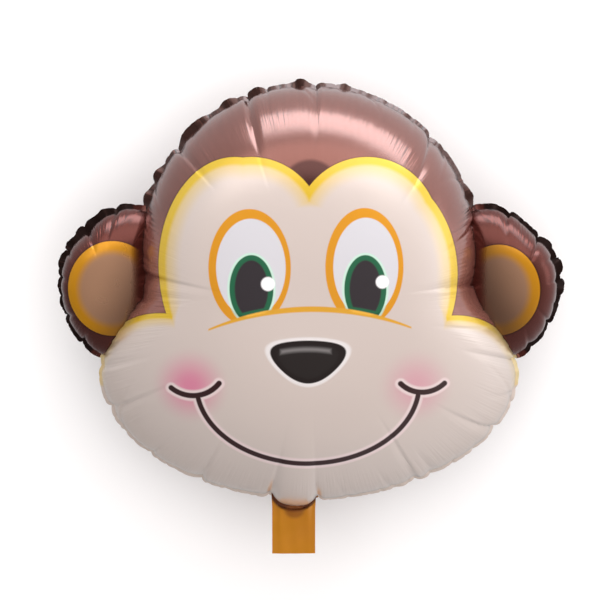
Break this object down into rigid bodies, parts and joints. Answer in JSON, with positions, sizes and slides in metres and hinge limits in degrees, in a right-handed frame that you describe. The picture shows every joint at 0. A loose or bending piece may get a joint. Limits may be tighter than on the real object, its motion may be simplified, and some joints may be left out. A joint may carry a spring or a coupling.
{
  "type": "foil balloon",
  "caption": "Filled foil balloon in the shape of a smiling cartoon monkey's head with round ears and a short flat filling neck, lying face up.",
  "frame": {"origin": "on the floor, at the middle of the flat spot under the back of the head", "axes": "+Z out of the face, which looks up; +Y towards the top of the head; the filling neck points to -Y"},
  "size_m": [0.5078, 0.4746, 0.2235],
  "materials": {
    "printed_foil": "metallised film with a satin shine, printed brown, cream, yellow and gold"
  },
  "bodies": {
    "root": {"foil_balloon": "printed_foil"}
  },
  "joints": []
}
